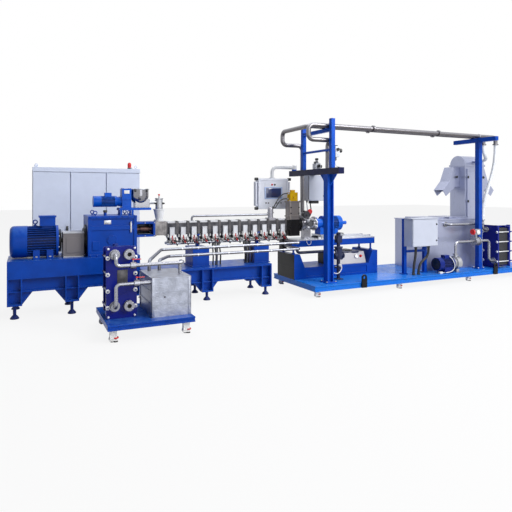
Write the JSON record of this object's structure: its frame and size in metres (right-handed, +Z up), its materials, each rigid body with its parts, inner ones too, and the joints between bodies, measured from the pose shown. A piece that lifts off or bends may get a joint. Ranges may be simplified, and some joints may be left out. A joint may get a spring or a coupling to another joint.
{
  "type": "plastic compounding machine",
  "caption": "Twin-screw plastic compounding line: drive, gearbox and heated barrels, tempering cart, underwater pelletizing skid with dryer, electrical cabinet and swivelling operator panel.",
  "frame": {"origin": "middle of the line's floor area, at floor level", "axes": "+X along the flow of the melt, from the drive to the pelletizing skid; +Y to the back, where the cabinet stands; +Z up"},
  "size_m": [9.5, 4.15, 2.857],
  "materials": {
    "blue_paint": "glossy blue machine enamel",
    "navy_paint": "dark navy enamel",
    "dark_foot": "dark painted steel",
    "guard_grey": "satin grey sheet",
    "barrel_steel": "dark nitrided steel",
    "heater_dark": "dark cast heater",
    "pale_cover": "pale grey sheet",
    "stainless": "brushed stainless steel",
    "black_steel": "satin black",
    "white_pipe": "white pipe",
    "foil_wrap": "aluminium foil jacket",
    "yellow_paint": "yellow enamel",
    "valve_grey": "dark grey valve paint",
    "castor_white": "white housing with black pad and red adjusting wheel",
    "unit_white": "white plastic",
    "box_grey": "pale grey enclosure paint",
    "hose_white": "white flexible hose",
    "cabinet_paint": "pale lavender powder coat",
    "panel_paint": "blue-grey enclosure paint"
  },
  "bodies": {
    "line": {"drive_base": "blue_paint", "barrel_frame": "blue_paint", "levelling_feet": "dark_foot", "main_motor": "blue_paint", "motor_fan_cover": "blue_paint", "coupling_guard": "guard_grey", "gearbox": "blue_paint", "lantern": "blue_paint", "feed_barrel": "barrel_steel", "barrel_train": "barrel_steel", "barrel_heaters": "heater_dark", "barrel_covers": "pale_cover", "barrel_pedestals": "blue_paint", "cooling_manifolds": "stainless", "cooling_valves": "black_steel", "feeder_frame": "blue_paint", "feeder_drive": "blue_paint", "feeder_hopper": "stainless", "feed_chute": "white_pipe", "vacuum_vent": "stainless", "vacuum_line": "white_pipe", "diverter_valve": "barrel_steel", "valve_actuator": "yellow_paint", "process_pipes": "foil_wrap", "cart_platform": "navy_paint", "castors": "castor_white", "exchanger_frames": "navy_paint", "exchanger_packs": "heater_dark", "exchanger_ports": "stainless", "insulated_tank": "foil_wrap", "cart_piping": "white_pipe", "skid_platform": "blue_paint", "lifting_lugs": "black_steel", "pelletizer_bed": "blue_paint", "bed_ends": "blue_paint", "rail_table": "blue_paint", "cutter_head": "stainless", "instrument_box": "stainless", "bypass_valves": "valve_grey", "front_mast": "blue_paint", "rear_mast": "blue_paint", "overhead_pipes": "stainless", "air_units": "unit_white", "control_boxes": "box_grey", "box_stand": "blue_paint", "water_tank": "stainless", "tank_lid": "stainless", "dryer": "stainless", "dryer_chutes": "stainless", "water_pump": "blue_paint", "pump_piping": "white_pipe", "hoses": "hose_white", "cabinet_body": "cabinet_paint"},
    "door_left": {"cabinet_door_left": "cabinet_paint"},
    "door_middle": {"cabinet_door_middle": "cabinet_paint"},
    "door_right": {"cabinet_door_right": "cabinet_paint"},
    "panel": {"panel_arm": "stainless", "operator_panel": "panel_paint"},
    "carriage": {"cutter_carriage": "stainless", "cutter_drive": "blue_paint"}
  },
  "joints": [
    {"name": "door_left_hinge", "type": "hinge", "parent": "line", "child": "door_left", "pos_m": [-4.4105, 1.4875, 1], "axis": [0, 0, -1], "range_deg": [0, 110]},
    {"name": "door_middle_hinge", "type": "hinge", "parent": "line", "child": "door_middle", "pos_m": [-3.8105, 1.4875, 1], "axis": [0, 0, -1], "range_deg": [0, 110]},
    {"name": "door_right_hinge", "type": "hinge", "parent": "line", "child": "door_right", "pos_m": [-3.2105, 1.4875, 1], "axis": [0, 0, -1], "range_deg": [0, 110]},
    {"name": "panel_swivel", "type": "hinge", "parent": "line", "child": "panel", "pos_m": [-0.05, 0.275, 2.1], "axis": [0, 0, -1], "range_deg": [0, 120]},
    {"name": "carriage_slide", "type": "slide", "parent": "line", "child": "carriage", "axis": [1, 0, 0], "range_m": [0, 0.45]}
  ]
}
